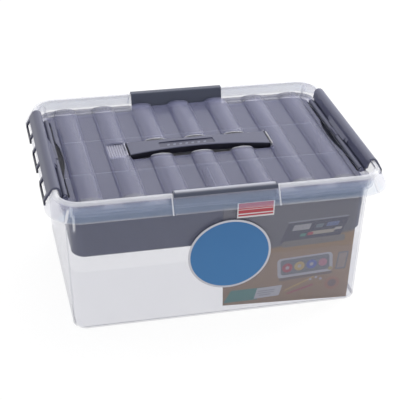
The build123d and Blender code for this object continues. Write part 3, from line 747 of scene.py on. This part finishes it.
def flat_pad_sheen(tree, place, settings):
    """Painted sheen on the flat pad beside the handle, striped by its fine ribs, on the hump two pitches to
    the left.
    """
    x, y = split(tree, place)[:2]
    off_pad = maths(tree, "ABSOLUTE", maths(tree, "ADD", x, 2 * settings.hump_pitch))
    on_pad = overlap(
        tree,
        below(tree, off_pad, settings.pad_half_length),
        below(tree, maths(tree, "ABSOLUTE", y), settings.pad_half_width),
    )
    turn = maths(tree, "MULTIPLY", x, 2 * math.pi / settings.pad_rib_pitch)
    wave = maths(tree, "MULTIPLY", maths(tree, "SINE", turn), PAD_RIB_DEPTH)
    ribs = maths(tree, "ADD", wave, 1.0 - PAD_RIB_DEPTH)
    return overlap(tree, on_pad, ribs), settings.pad_sheen_film, settings.pad_sheen_colour


def off_hump(tree, x, pitch):
    """Signed distance along X from the middle of the nearest hump."""
    turns = maths(tree, "ADD", maths(tree, "DIVIDE", x, pitch), 0.5)
    return maths(tree, "MULTIPLY", maths(tree, "SUBTRACT", maths(tree, "FRACT", turns), 0.5), pitch)


def painted_flank_light(tree, place, settings):
    """Painted light on the right flank of each hump, the side that catches more light."""
    x, _, height = split(tree, place)
    half = settings.hump_half_width
    rise = smooth_step(tree, off_hump(tree, x, settings.hump_pitch), FLANK_LIGHT_START * half, half)
    return overlap(tree, rise, above(tree, height, FLANK_LIGHT_BOTTOM)), settings.flank_light_film, settings.flank_light_colour


def hump_crowns(tree, place, settings):
    """A soft crown along the top of each hump, as a fall from its middle."""
    x, _, height = split(tree, place)
    off_middle = maths(tree, "ABSOLUTE", off_hump(tree, x, settings.hump_pitch))
    fall = maths(tree, "DIVIDE", maths(tree, "POWER", off_middle, 2.0), 2 * settings.crown_radius)
    return maths(tree, "MULTIPLY", overlap(tree, fall, above(tree, height, CROWN_BOTTOM)), -1.0)


def dark_plastic(name, settings, colour, grain_strength, patches=()):
    """Satin dark plastic with a fine spark-eroded grain, slow flow marks and light scuffs.

    Each of the patches is a function of the tree, the coordinates and the settings that gives a
    mask and its colour; most of them paint shade or highlights.
    """
    material, tree, output, place = new_material(name)
    grain = place_group(
        tree, "Moulded Grain", Coordinates=place, Grain_Scale=1500.0, Flow_Scale=22.0,
        Roughness=SATIN_ROUGHNESS, Roughness_Change=0.12,
    )
    scuffs = place_group(tree, "Handling Scuffs", Coordinates=place, Scale=90.0, Amount=0.35)
    scuffed = tuple(min(1.0, part + SCUFF_LIFT) for part in shade(colour, SCUFF_SHADE))
    tone = mix_colours(tree, grain["Flow"], colour, shade(colour, DARK_FLOW_SHADE))
    tone = mix_colours(tree, scuffs["Mask"], tone, scuffed)
    for patch in patches:
        mask, patch_colour = patch(tree, place, settings)
        tone = mix_colours(tree, mask, tone, patch_colour)
    inputs = {
        "Base Color": tone,
        "Roughness": grain["Roughness"],
        "IOR": 1.5,
        "Normal": bump(tree, grain["Height"], grain_strength, GRAIN_DEPTH),
    }
    finish_material(tree, output, add(tree, "ShaderNodeBsdfPrincipled", inputs))
    return material


def shaded_feet(tree, place, settings):
    """Painted shade on the clips' feet, knuckles and loops, where the rim shades them."""
    mask = fade_out(tree, split(tree, place)[2], settings.foot_top - FOOT_FADE, settings.foot_top)
    return maths(tree, "MULTIPLY", mask, FOOT_SHADE), settings.foot_shade_colour


def painted_ear_highlight(tree, place, settings):
    """Painted highlight along the top of the tray's front ear, which fades out towards the front."""
    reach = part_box("insert_tray")[1]
    x, y, z = split(tree, place)
    inner_edge = EAR_TOP_WIDTH - reach.y
    line = overlap(
        tree,
        smooth_step(tree, y, inner_edge - settings.ear_highlight_width, inner_edge),
        below(tree, y, 0.0),
        above(tree, z, reach.z - EAR_TOP_DEPTH),
        below(tree, maths(tree, "ABSOLUTE", x), settings.ear_half_length),
    )
    return line, settings.ear_highlight_colour


def handle_sides(tree, place, settings):
    """Painted shade on the handle's sides, where the pocket shades them, up to its arched top edge."""
    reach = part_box("carry_handle")[1]
    x, _, z = split(tree, place)
    share = maths(tree, "POWER", maths(tree, "ABSOLUTE", maths(tree, "DIVIDE", x, reach.x)), 2.0)
    drop = maths(tree, "MULTIPLY", share, settings.arch)
    top = maths(tree, "SUBTRACT", reach.z - settings.edge_width, drop)
    return below(tree, z, top), settings.side_shade_colour


def seen_from_above(tree, place):
    """Coordinates that let a print patch lie flat: Y stands in for Z."""
    x, y, _ = split(tree, place)
    return add(tree, "ShaderNodeCombineXYZ", {0: x, 2: y}).outputs[0]


def handle_recess(tree, place, settings):
    """The floor of the oblong recess on the handle's top."""
    mask = place_group(
        tree, "Print Patch", Coordinates=seen_from_above(tree, place),
        Centre_X=settings.recess_x, Centre_Z=settings.recess_y,
        Half_Width=settings.recess_half_length - RECESS_WALL,
        Half_Height=settings.recess_half_width - RECESS_WALL, Corner=RECESS_CORNER,
    )[0]
    return mask, settings.recess_colour


def recess_marks(tree, place, settings):
    """A row of short leaning marks in the recess."""
    flat = seen_from_above(tree, place)
    mask = 0.0
    for index in range(MARK_COUNT):
        off_middle = (index - (MARK_COUNT - 1) / 2) * settings.mark_pitch
        mark = place_group(
            tree, "Print Patch", Coordinates=flat,
            Centre_X=settings.recess_x + off_middle, Centre_Z=settings.recess_y - MARK_DROP,
            Half_Width=MARK_HALF_LENGTH, Half_Height=MARK_HALF_WIDTH, Corner=MARK_CORNER, Lean=MARK_LEAN,
        )[0]
        mask = maths(tree, "MAXIMUM", mask, mark)
    return mask, settings.mark_colour


def printed_paper(name, settings, colour_of, roughness):
    """Glossy print on paper, its colour made by a function of the tree, the coordinates and the settings."""
    material, tree, output, place = new_material(name)
    colour = colour_of(tree, place, settings)
    grain = place_group(
        tree, "Moulded Grain", Coordinates=place, Grain_Scale=1200.0, Flow_Scale=30.0,
        Roughness=roughness, Roughness_Change=0.1,
    )
    inputs = {
        "Base Color": colour,
        "Roughness": grain["Roughness"],
        "IOR": 1.5,
        "Coat Weight": 0.3,
        "Coat Roughness": 0.1,
        "Normal": bump(tree, grain["Height"], PAPER_GRAIN, GRAIN_DEPTH),
    }
    finish_material(tree, output, add(tree, "ShaderNodeBsdfPrincipled", inputs))
    return material


def oval_colour(tree, place, settings):
    """Blue that lightens downwards, with a pale ring at the edge."""
    low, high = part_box("oval_sticker")
    centre = (low + high) / 2
    half = (high - low) / 2
    x, _, z = split(tree, place)
    squares = []
    for socket, middle, reach in ((x, centre.x, half.x), (z, centre.z, half.z)):
        inner = reach - settings.oval_ring_width
        part = maths(tree, "DIVIDE", maths(tree, "SUBTRACT", socket, middle), inner)
        squares.append(maths(tree, "POWER", maths(tree, "ABSOLUTE", part), 2.0))
    ring = smooth_step(tree, maths(tree, "ADD", *squares), 1.0 - RING_SOFTNESS, 1.0 + RING_SOFTNESS)
    rise = smooth_step(tree, z, low.z, high.z)
    blue = mix_colours(tree, rise, settings.oval_bottom, settings.oval_top)
    return mix_colours(tree, ring, blue, settings.oval_ring)


def stripe_colour(tree, place, settings):
    """Red bands of three widths on white, inside a white border."""
    low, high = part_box("striped_sticker")
    colour = settings.stripe_white
    for share, half_height in STRIPES:
        mask = place_group(
            tree, "Print Patch", Coordinates=place,
            Centre_X=(low.x + high.x) / 2, Centre_Z=low.z + share * (high.z - low.z),
            Half_Width=(high.x - low.x) / 2 - STRIPE_BORDER, Half_Height=half_height,
        )[0]
        colour = mix_colours(tree, mask, colour, settings.stripe_red)
    return colour


def dot(across, up, radius, tone):
    """A round patch of the card's print."""
    return across, up, radius, radius, radius, 0.0, 0.0, tone


def in_tray(across, up, half_width, half_height, tone, corner=0.5):
    """A patch of the card's print that leans with the printed tray."""
    return across, up, half_width, half_height, corner, TRAY_LEAN, TRAY_RISE, tone


# Patches of the card's print in millimetres from the card's lower left corner:
# centre across, centre up, half width, half height, corner, lean, rise, colour
CARD_PATCHES = (
    # Tray with small things in it, its front side and its rim
    in_tray(112, 96, 36, 13, (0.035, 0.040, 0.055), corner=2),
    in_tray(96, 101, 10, 3.5, (0.30, 0.30, 0.31)),
    in_tray(122, 92, 14, 2.0, (0.34, 0.31, 0.25)),
    in_tray(134, 102, 7, 2.5, (0.10, 0.13, 0.24)),
    (112, 80, 38, 4, 1.5, 0.0, 0.03, (0.16, 0.145, 0.125)),
    in_tray(116, 110, 36, 0.7, (0.22, 0.23, 0.25)),
    in_tray(107, 91, 3, 1.6, (0.34, 0.05, 0.06)),
    in_tray(98, 90, 3, 1.6, (0.06, 0.22, 0.16)),
    in_tray(141, 95, 4, 1.4, (0.38, 0.36, 0.34)),
    in_tray(118, 101, 4, 2.2, (0.12, 0.15, 0.17)),
    # Paint box with its pots
    (104, 46, 34, 14, 5, -0.08, 0.05, (0.42, 0.42, 0.44)),
    (104, 47, 30, 10.5, 3, -0.08, 0.05, (0.13, 0.135, 0.14)),
    dot(82, 45, 6, (0.36, 0.045, 0.05)),
    dot(97, 46, 6, (0.46, 0.34, 0.10)),
    dot(112, 47, 6, (0.06, 0.10, 0.34)),
    dot(126, 48, 5, (0.40, 0.16, 0.20)),
    *(dot(across, up, 2, (0.40, 0.39, 0.38)) for across, up in ((82, 45), (97, 46), (112, 47))),
    dot(136, 38, 2.4, (0.36, 0.30, 0.10)),
    # Green sheet, and a pale sheet with three lines
    (30, 12, 20, 8, 0, 0.5, 0.0, (0.030, 0.20, 0.15)),
    (60, 13, 15, 7, 0, 0.25, 0.04, (0.52, 0.52, 0.55)),
    *(
        (across, up, half_width, 0.4, 0.2, 0.25, 0.04, (0.30, 0.31, 0.34))
        for across, up, half_width in ((58, 15.5, 10), (57, 12.5, 10), (56, 9.5, 7))
    ),
    # Reel
    dot(140, 16, 9, (0.30, 0.13, 0.05)),
    dot(140, 16, 5, (0.15, 0.09, 0.06)),
    # Two pencils, the paint box's shade and three beads
    (98, 20, 18, 0.9, 0.9, 0.0, 0.45, (0.44, 0.30, 0.08)),
    (100, 12, 16, 0.8, 0.8, 0.0, 0.3, (0.34, 0.06, 0.07)),
    (106, 30.5, 33, 1.6, 1.5, -0.08, 0.05, (0.14, 0.095, 0.055)),
    *(dot(across, up, 1.3, (0.40, 0.40, 0.42)) for across, up in ((112, 25), (119, 27), (125, 24))),
    # Notebook
    (150, 48, 6, 12, 1, 0.1, 0.03, (0.10, 0.105, 0.12)),
    (150, 48, 4.6, 10.4, 0.5, 0.1, 0.03, (0.26, 0.21, 0.15)),
)


def card_colour(tree, place, settings):
    """A made-up bench scene: grey wall, wood top, trays, a reel and sheets as plain patches."""
    low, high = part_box("label_card")
    bottom = settings.card_bottom_left
    x, _, z = split(tree, place)
    grained = add(tree, "ShaderNodeVectorMath", {0: place, 1: WOOD_STRETCH}, operation="MULTIPLY")
    noise = {"Vector": grained.outputs[0], "Scale": 60.0, "Detail": 5.0, "Distortion": 0.8}
    lines = add(tree, "ShaderNodeTexNoise", noise)
    wood = mix_colours(tree, lines.outputs[0], shade(settings.card_wood, WOOD_SHADE), settings.card_wood)
    height_share = smooth_step(tree, z, bottom, high.z)
    wall = mix_colours(tree, height_share, shade(settings.card_wall, WALL_SHADE), settings.card_wall)
    level = maths(tree, "SUBTRACT", z, maths(tree, "MULTIPLY", x, HORIZON_SLOPE))
    beyond = smooth_step(tree, level, bottom + HORIZON_FADE[0], bottom + HORIZON_FADE[1])
    colour = mix_colours(tree, beyond, wood, wall)
    for across, up, half_width, half_height, corner, lean, rise, tone in CARD_PATCHES:
        mask = place_group(
            tree, "Print Patch", Coordinates=place,
            Centre_X=low.x + across * MM, Centre_Z=bottom + up * MM,
            Half_Width=half_width * MM, Half_Height=half_height * MM,
            Corner=corner * MM, Lean=lean, Rise=rise, Softness=PATCH_SOFTNESS,
        )[0]
        colour = mix_colours(tree, mask, colour, tone)
    return colour


def back_colour(tree, place, settings):
    """Unprinted paper with faint fibres."""
    fibres = add(tree, "ShaderNodeTexNoise", {"Vector": place, "Scale": 700.0, "Detail": 4.0})
    return mix_colours(tree, fibres.outputs[0], shade(settings.card_back, BACK_SHADE), settings.card_back)


def make_object(name, bm):
    """A mesh object at the origin from a bmesh, with its normals outwards."""
    bmesh.ops.recalc_face_normals(bm, faces=bm.faces)
    mesh = bpy.data.meshes.new(name)
    bm.to_mesh(mesh)
    bm.free()
    made = bpy.data.objects.new(name, mesh)
    bpy.context.scene.collection.objects.link(made)
    return made


def between(share, start, end):
    """The value at this share of the way from start to end."""
    return start + share * (end - start)


def card_sheet(settings):
    """The card as a thin sheet that hangs a little askew and bends into the tub's right corner."""
    low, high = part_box("label_card")
    lean = (high.y - CARD_THICKNESS - low.y) / (high.z - low.z)
    bm = bmesh.new()
    bmesh.ops.create_grid(bm, x_segments=CARD_GRID[0], y_segments=CARD_GRID[1], size=0.5)
    for vertex in bm.verts:
        across, upwards = vertex.co.x + 0.5, vertex.co.y + 0.5
        left = between(upwards, settings.card_left, low.x)
        right = between(upwards, settings.card_right_bottom, settings.card_right_top)
        bottom = between(across, settings.card_bottom_left, settings.card_bottom_right)
        x = between(across, left, right)
        z = between(upwards, bottom, high.z)
        radius = between(upwards, settings.corner_bottom, settings.corner_top)
        into_corner = max(0.0, x - settings.corner_start)
        bend = radius - math.sqrt(radius**2 - into_corner**2)
        vertex.co = (x, low.y + lean * (high.z - z) + bend, z)
    inside = bmesh.ops.extrude_face_region(bm, geom=bm.faces[:])["geom"]
    moved = [part for part in inside if isinstance(part, bmesh.types.BMVert)]
    bmesh.ops.translate(bm, verts=moved, vec=(0.0, CARD_THICKNESS, 0.0))
    sheet = make_object("printed_card", bm)
    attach(sheet, "tub_body")
    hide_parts("label_card")
    return sheet


class STORAGEBOX_OT_tub(Operator):
    """Gives the tub its clear, faintly milky plastic"""

    bl_idname = "storage_box.tub"
    bl_label = "Dress Tub"

    def execute(self, context):
        settings = context.scene.storage_box_clear
        levels = {
            "Film_1": settings.low_film,
            "Height_1": LOW_WALL_TOP,
            "Film_2": settings.tub_film,
            "Height_2": SKIRT_FILM_BOTTOM,
            "Film_3": settings.skirt_film,
            "Height_3": CREST_BOTTOM,
            "Film_4": settings.crest_highlight_film,
        }
        material = clear_plastic(
            "clear_tub_plastic", settings, settings.tub_colour, settings.highlight_colour, levels, TUB_EDGE,
            roughness=0.22, patches=(skirt_band, corner_glints, skirt_lip_highlight, skirt_rib_lights, base_edge),
            outline_colour=settings.outline_colour,
        )
        dress(["tub"], material)
        return {"FINISHED"}


class STORAGEBOX_OT_lid(Operator):
    """Gives the lid its milky plastic, thinner where the lid is sunk"""

    bl_idname = "storage_box.lid"
    bl_label = "Dress Lid"

    def execute(self, context):
        settings = context.scene.storage_box_clear
        levels = {
            "Film_1": settings.sunk_film,
            "Film_2": settings.sunk_film,
            "Height_2": VALLEY_FILM_BOTTOM,
            "Film_3": settings.valley_film,
            "Height_3": HUMP_FILM_BOTTOM,
            "Film_4": settings.lid_film,
        }
        material = clear_plastic(
            "clear_lid_plastic", settings, settings.lid_colour, settings.lid_colour, levels, LID_EDGE,
            roughness=0.3,
            patches=(painted_flank_light, painted_sunk_shade, lid_margins, pocket_floor_shade, painted_cut_highlights, flat_pad_sheen),
            relief=hump_crowns,
        )
        dress(["lid"], material)
        return {"FINISHED"}


class STORAGEBOX_OT_dark_parts(Operator):
    """Gives the clips and the handle their satin anthracite plastic"""

    bl_idname = "storage_box.dark_parts"
    bl_label = "Dress Clips and Handle"

    def execute(self, context):
        dark = context.scene.storage_box_dark
        handle = context.scene.storage_box_handle
        clip_plastic = dark_plastic(
            "anthracite_plastic", dark, dark.clip_colour, CLIP_GRAIN, patches=(shaded_feet,)
        )
        handle_plastic = dark_plastic(
            "handle_plastic", handle, dark.clip_colour, CLIP_GRAIN,
            patches=(handle_sides, handle_recess, recess_marks),
        )
        dress(["left_clip", "right_clip"], clip_plastic)
        dress(["carry_handle"], handle_plastic)
        return {"FINISHED"}


class STORAGEBOX_OT_tray(Operator):
    """Gives the insert tray and its divider their dark grey plastic"""

    bl_idname = "storage_box.tray"
    bl_label = "Dress Tray"

    def execute(self, context):
        dark = context.scene.storage_box_dark
        tray_plastic = dark_plastic(
            "tray_plastic", dark, dark.tray_colour, TRAY_GRAIN, patches=(painted_ear_highlight,)
        )
        dress(["insert_tray"], tray_plastic)
        dress(["tray_divider"], dark_plastic("divider_plastic", dark, dark.tray_colour, TRAY_GRAIN))
        return {"FINISHED"}


class STORAGEBOX_OT_prints(Operator):
    """Prints the card behind the front wall and the two stickers"""

    bl_idname = "storage_box.prints"
    bl_label = "Print Card and Stickers"

    def execute(self, context):
        settings = context.scene.storage_box_print
        sheet = card_sheet(settings)
        sheet.data.materials.append(printed_paper("card_print", settings, card_colour, roughness=0.4))
        sheet.data.materials.append(printed_paper("card_back", settings, back_colour, roughness=0.6))
        for face in sheet.data.polygons:
            face.material_index = int(face.normal.y > 0.5)
        dress(["oval_sticker"], printed_paper("oval_print", settings, oval_colour, roughness=0.35))
        dress(["striped_sticker"], printed_paper("striped_print", settings, stripe_colour, roughness=0.35))
        return {"FINISHED"}


def white_to_the_eye(tree):
    """1 for rays that show the background: seen, mirrored or seen through glass."""
    path = add(tree, "ShaderNodeLightPath").outputs
    seen = maths(tree, "MAXIMUM", path["Is Camera Ray"], path["Is Glossy Ray"])
    return maths(tree, "MAXIMUM", seen, path["Is Transmission Ray"])


def studio_world(strength):
    """An even world that looks white and lights the object at a plain level."""
    world = bpy.data.worlds.new("studio_world")
    world.use_nodes = True
    tree = world.node_tree
    tree.nodes.clear()
    glow = maths(tree, "MULTIPLY", white_to_the_eye(tree), 1.0 - strength)
    background = add(
        tree, "ShaderNodeBackground", {"Color": WHITE, "Strength": maths(tree, "ADD", glow, strength)}
    )
    output = tree.nodes.new("ShaderNodeOutputWorld")
    tree.links.new(background.outputs[0], output.inputs["Surface"])
    bpy.context.scene.world = world


def studio_floor(size, glow_share):
    """A pale floor that keeps a soft shadow."""
    bm = bmesh.new()
    bmesh.ops.create_grid(bm, x_segments=1, y_segments=1, size=size / 2)
    floor = make_object("studio_floor", bm)
    material, tree, output, place = new_material("pale_floor")
    speckle = add(tree, "ShaderNodeTexNoise", {"Vector": place, "Scale": 300.0})
    tone = mix_colours(tree, speckle.outputs[0], *FLOOR_TONES)
    matt = add(tree, "ShaderNodeBsdfDiffuse", {"Color": tone})
    light = add(tree, "ShaderNodeEmission", {"Color": WHITE, "Strength": FLOOR_WHITE})
    share = maths(tree, "MULTIPLY", white_to_the_eye(tree), glow_share)
    mixed = add(tree, "ShaderNodeMixShader", {0: share, 1: matt.outputs[0], 2: light.outputs[0]})
    finish_material(tree, output, mixed)
    floor.data.materials.append(material)


def softbox(name, location, width, height, power):
    """An oblong lamp that faces the middle of the box."""
    lamp = bpy.data.lights.new(name, "AREA")
    lamp.shape = "RECTANGLE"
    lamp.size = width
    lamp.size_y = height
    lamp.energy = power
    made = bpy.data.objects.new(name, lamp)
    made.location = location
    made.rotation_mode = "QUATERNION"
    made.rotation_quaternion = (LOOK_AT - Vector(location)).to_track_quat("-Z", "Y")
    bpy.context.scene.collection.objects.link(made)


def photo_camera(settings):
    """The camera at the photograph's angle."""
    yaw, pitch, roll = settings.camera_yaw, settings.camera_pitch, settings.camera_roll
    forward = Vector((math.sin(yaw) * math.cos(pitch), math.cos(yaw) * math.cos(pitch), -math.sin(pitch)))
    level = Vector((math.cos(yaw), -math.sin(yaw), 0.0))
    upright = level.cross(forward)
    right = math.cos(roll) * level + math.sin(roll) * upright
    up = math.cos(roll) * upright - math.sin(roll) * level
    lens = bpy.data.cameras.new("photo_camera")
    lens.lens = settings.lens
    lens.clip_end = 100.0
    camera = bpy.data.objects.new("photo_camera", lens)
    turn = Matrix((right, up, -forward)).transposed()
    place = Matrix.Translation(LOOK_AT - settings.camera_distance * forward)
    camera.matrix_world = place @ turn.to_4x4()
    bpy.context.scene.collection.objects.link(camera)
    bpy.context.scene.camera = camera


class STORAGEBOX_OT_stage(Operator):
    """Sets up the camera, the white floor, the world and the softboxes"""

    bl_idname = "storage_box.stage"
    bl_label = "Set Up Studio"

    def execute(self, context):
        settings = context.scene.storage_box_studio
        context.scene.view_settings.view_transform = "Standard"
        photo_camera(settings)
        studio_world(settings.world_light)
        studio_floor(settings.floor_size, settings.floor_glow)
        for name, location, width, height, power in LAMPS:
            softbox(name, location, width, height, getattr(settings, power))
        context.scene.cycles.transparent_max_bounces = 24
        return {"FINISHED"}


class STORAGEBOX_PT_panel(Panel):
    """Lists the steps that dress the box"""

    bl_idname = "STORAGEBOX_PT_panel"
    bl_label = "Storage Box"
    bl_space_type = "VIEW_3D"
    bl_region_type = "UI"
    bl_category = "Storage Box"

    def draw(self, context):
        for operator in OPERATORS:
            self.layout.operator(operator.bl_idname)
        for group in SETTINGS:
            box = self.layout.box()
            owner = getattr(context.scene, group)
            for name in SETTINGS[group].__annotations__:
                box.prop(owner, name)


OPERATORS = (
    STORAGEBOX_OT_stage,
    STORAGEBOX_OT_tub,
    STORAGEBOX_OT_lid,
    STORAGEBOX_OT_dark_parts,
    STORAGEBOX_OT_tray,
    STORAGEBOX_OT_prints,
)

SETTINGS = {
    "storage_box_clear": ClearPlasticSettings,
    "storage_box_dark": DarkPlasticSettings,
    "storage_box_handle": HandleSettings,
    "storage_box_print": PrintSettings,
    "storage_box_studio": StudioSettings,
}


def register():
    for kind in (*SETTINGS.values(), *OPERATORS, STORAGEBOX_PT_panel):
        bpy.utils.register_class(kind)
    for name, kind in SETTINGS.items():
        setattr(bpy.types.Scene, name, PointerProperty(type=kind))


def unregister():
    for name in SETTINGS:
        delattr(bpy.types.Scene, name)
    for kind in (STORAGEBOX_PT_panel, *reversed(OPERATORS), *reversed(SETTINGS.values())):
        bpy.utils.unregister_class(kind)


def main():
    register()
    for step in ("stage", "tub", "lid", "dark_parts", "tray", "prints"):
        getattr(bpy.ops.storage_box, step)()


if __name__ == "__main__":
    main()
